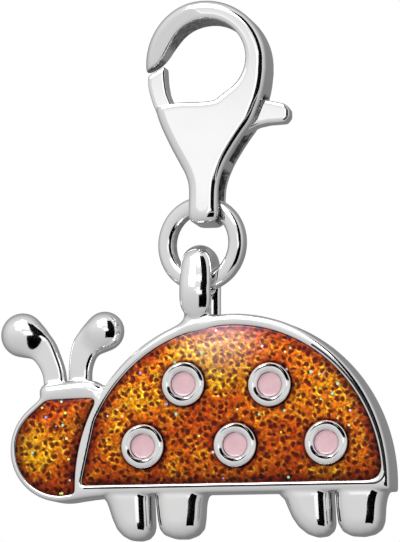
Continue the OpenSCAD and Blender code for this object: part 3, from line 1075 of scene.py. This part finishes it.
# %% [markdown]
# ## Glitter
# A few flakes of coloured foil lie in the enamel. They are scattered by Geometry Nodes over
# the front of each filling, with a fixed seed, and each flake keeps a random number that
# picks its colour.

# %% Foil
foil = Finish("glitter_foil", Metallic=0.6, Roughness=0.25)
colours = foil.ramp(foil.attribute("fleck"), (0.0, (0.35, 0.95, 0.65)), (0.3, (0.75, 0.95, 0.15)),
                    (0.5, (0.95, 0.9, 0.35)), (0.7, (0.5, 0.35, 0.8)), (0.85, (0.95, 0.75, 0.8)))
colours.node.color_ramp.interpolation = "CONSTANT"
foil.feed(Base_Color=colours)
foil.count()


# %% Glitter
def scatter(name, onto, seed):
    tree = Tree(name, per_square_metre=0.42e6, flake=0.07 * MM, thickness=0.02 * MM)
    facing = tree.node("ShaderNodeSeparateXYZ", {0: tree.step("InputNormal")}).outputs["Y"]
    points = tree.node("GeometryNodeDistributePointsOnFaces", {
        "Mesh": tree.start, "Density": tree.size["per_square_metre"], "Seed": seed,
        "Selection": tree.below(facing, -0.95)}).outputs
    flake = tree.step("MeshCylinder", {
        "Vertices": 7, "Radius": tree.size["flake"], "Depth": tree.size["thickness"]})
    grown = tree.node("FunctionNodeRandomValue", {2: 0.7, 3: 1.25, "Seed": seed + 1},
                      data_type="FLOAT").outputs[1]
    copies = tree.step("InstanceOnPoints", {
        "Points": points["Points"], "Instance": flake, "Rotation": points["Rotation"],
        "Scale": grown})
    pick = tree.node("FunctionNodeRandomValue", {"Seed": seed + 2}, data_type="FLOAT").outputs[1]
    kept = tree.step("StoreNamedAttribute", {
        "Geometry": copies, "Name": "fleck", "Value": pick}, data_type="FLOAT", domain="INSTANCE")
    made = tree.made(kept, name, onto.data.copy(), foil.material)
    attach(made, "ladybird")


scatter("shell_glitter", shell_fill, 4)
scatter("head_glitter", head_fill, 7)

# %% [markdown]
# ## The tent
# The charm hangs in a white tent, the usual studio for shiny things. The tent is the world:
# bright before the charm and above, darker behind it, and plain white to the camera.

# %% Tent
world = bpy.data.worlds.new("tent")
bpy.context.scene.world = world
world.use_nodes = True
sky = Nodes(world.node_tree)
way = sky.node("ShaderNodeTexCoord").outputs["Generated"]
split = sky.node("ShaderNodeSeparateXYZ", {0: way}).outputs
depth = sky.ramp(sky.fit(split["Y"], (-1, 1)), (0.0, 0.82), (0.25, 0.78), (0.5, 0.62),
                 (0.8, 0.32), (1.0, 0.25))
rise = sky.ramp(sky.fit(split["Z"], (-1, 1)), (0.0, 0.72), (0.45, 0.9), (0.58, 1), (0.75, 1.12))
seen = sky.node("ShaderNodeLightPath").outputs["Is Camera Ray"]
shown = sky.mix("MIX", seen, sky.mix("MULTIPLY", 1.0, depth, rise), (1, 1, 1, 1))
sky.put(sky.tree.nodes["Background"], {"Color": shown})
print("tent of", len(sky.tree.nodes), "nodes")

# %% [markdown]
# ## Cards
# Polished silver needs something dark to mirror, so a black card shaped like a boot stands
# to the right of the lens, and a soft box at the upper left gives the white patches. The
# clasp has a small black card close by and a graded reflector for its flat face. Each card is
# bent round the charm: its rows give an elevation and two azimuths as seen from there, with
# the lens at zero, and a brightness. The camera sees none of them.

# %% Cards
CARD_STEPS = 12
CARDS = {
    "boot_card": (140, [(62, 2, 40, 0), (50, 4, 44, 0), (34, 5, 48, 0), (20, 6, 50, 0),
                        (17, 9, 47, 0), (6, 9, 48, 0), (3, -6, 49, 0), (-30, -8, 46, 0)]),
    "clasp_card": (45, [(20, 1, 40, 0), (3, 0, 42, 0)], (0.4, 0, 8.2)),
    "soft_box": (170, [(72, -56, -2, 4), (66, -56, -2, 6), (48, -54, 0, 6), (33, -54, 0, 6)]),
    "soft_box_edge": (170, [(33, -54, -24, 3), (23, -48, -27, 2.6)]),
    "rim_fill": (139, [(16, 10, 46, 0.8), (6, 10, 47, 0.8), (2, -5, 48, 0.8), (-29, -7, 45, 0.8)]),
    "clasp_fill": (138, [(2, -4.5, 47.5, 0.8), (-10, -5, 47, 0.8)]),
    "high_strip": (169, [(22, -16, 14, 1.25), (14, -16, 14, 1.25)]),
    "soft_strip": (169, [(14, -16, 14, 1.25), (6, -16, 14, 1.25)]),
    "tent_panel": (172, [(33, -56, 4, 0.87), (18, -52, 4, 0.86)]),
    "clasp_reflector": (150, [(22.5, -27, -16.5, 0.84), (19, -27, -16.5, 0.92),
                              (16.5, -27, -17, 1.1), (13.5, -27, -17, 1.16)]),
}


def card(name, distance, rows, middle=(0, 0, 0)):
    """A card at a distance from a place beside AIM, in millimetres."""
    turn, places, glow = camera.matrix_world.to_3x3(), [], []
    for height, low, high, bright in rows:
        e = math.radians(height)
        for a in np.radians(np.linspace(low, high, CARD_STEPS + 1)):
            ahead = turn @ Vector((math.sin(a) * math.cos(e), math.sin(e),
                                   math.cos(a) * math.cos(e)))
            places.append(AIM + (Vector(middle) + ahead * distance) * MM)
            glow.append(bright)
    width = CARD_STEPS + 1
    faces = [(r + i, r + i + 1, r + i + width + 1, r + i + width)
             for r in range(0, (len(rows) - 1) * width, width) for i in range(CARD_STEPS)]
    paint = Finish(name, Base_Color=(0, 0, 0, 1), Roughness=1.0, Specular_IOR_Level=0.0,
                   Emission_Color=(1, 1, 1, 1))
    paint.feed(Emission_Strength=paint.attribute("glow"))
    stand = model(name, places, faces, paint.material)
    mark(stand.data, "glow", glow)
    stand.visible_camera = stand.visible_diffuse = stand.visible_shadow = False
    print(name, len(faces), "faces, up to", max(glow), "bright")
    return stand


cards = {name: card(name, *spec) for name, spec in CARDS.items()}

# %% [markdown]
# ## Cards for single pieces
# A photographer shades one part of a shiny thing at a time. Blender's light linking does the
# same: a card that doesn't light a piece is black to it. So the soft boxes draw dark arcs on
# the rims' crests, and two fills cover the boot's foot for the rims and the clasp.

# %% Light linking
def light(name, state, *pieces):
    """Lets a card light only some pieces, or all but those."""
    group = bpy.data.collections.new(name + "_light")
    for piece in pieces:
        group.objects.link(piece)
    for member in group.collection_objects:
        member.light_linking.link_state = state
    cards[name].light_linking.receiver_collection = group
    print(name, state.lower() + "s", [piece.name for piece in pieces])


light("rim_fill", "INCLUDE", rims)
light("clasp_fill", "INCLUDE", rims, clasp, lever)
for name in ("soft_box", "soft_box_edge", "high_strip", "tent_panel"):
    light(name, "EXCLUDE", rims)

# %% [markdown]
# ## Lamp and floor
# One soft lamp from the upper left shapes the enamel, and a floor of pale paper lies far
# below the hanging charm. The metal mirrors the tent in its place.

# %% Lamp and floor
lamp_data = bpy.data.lights.new("soft_lamp", "AREA")
lamp_data.shape, lamp_data.size, lamp_data.energy = "DISK", 0.12, 0.25
lamp = on_set("soft_lamp", lamp_data)
lamp.location = AIM + Vector((-0.12, -0.2, 0.22))
lamp.rotation_euler = (AIM - lamp.location).to_track_quat("-Z", "Y").to_euler()

FLOOR_HIGH, FLOOR_WIDE = -150 * MM, 2.4
paper = Finish("pale_paper", Roughness=0.9, Specular_IOR_Level=0.1,
               Emission_Color=(1, 1, 1, 1), Emission_Strength=0.25)
paper.feed(Base_Color=paper.ramp(paper.noise(4.0, 4.0), (0.3, 0.86), (0.7, 0.9)))
floor = model("floor", [(u * FLOOR_WIDE, v * FLOOR_WIDE, FLOOR_HIGH)
                        for u, v in ((-1, -1), (1, -1), (1, 1), (-1, 1))],
              [(0, 1, 2, 3)], paper.material)
floor.visible_glossy = False
bpy.context.scene.view_settings.view_transform = "Standard"
print("floor", round(-FLOOR_HIGH / MM), "mm below the clasp's middle")
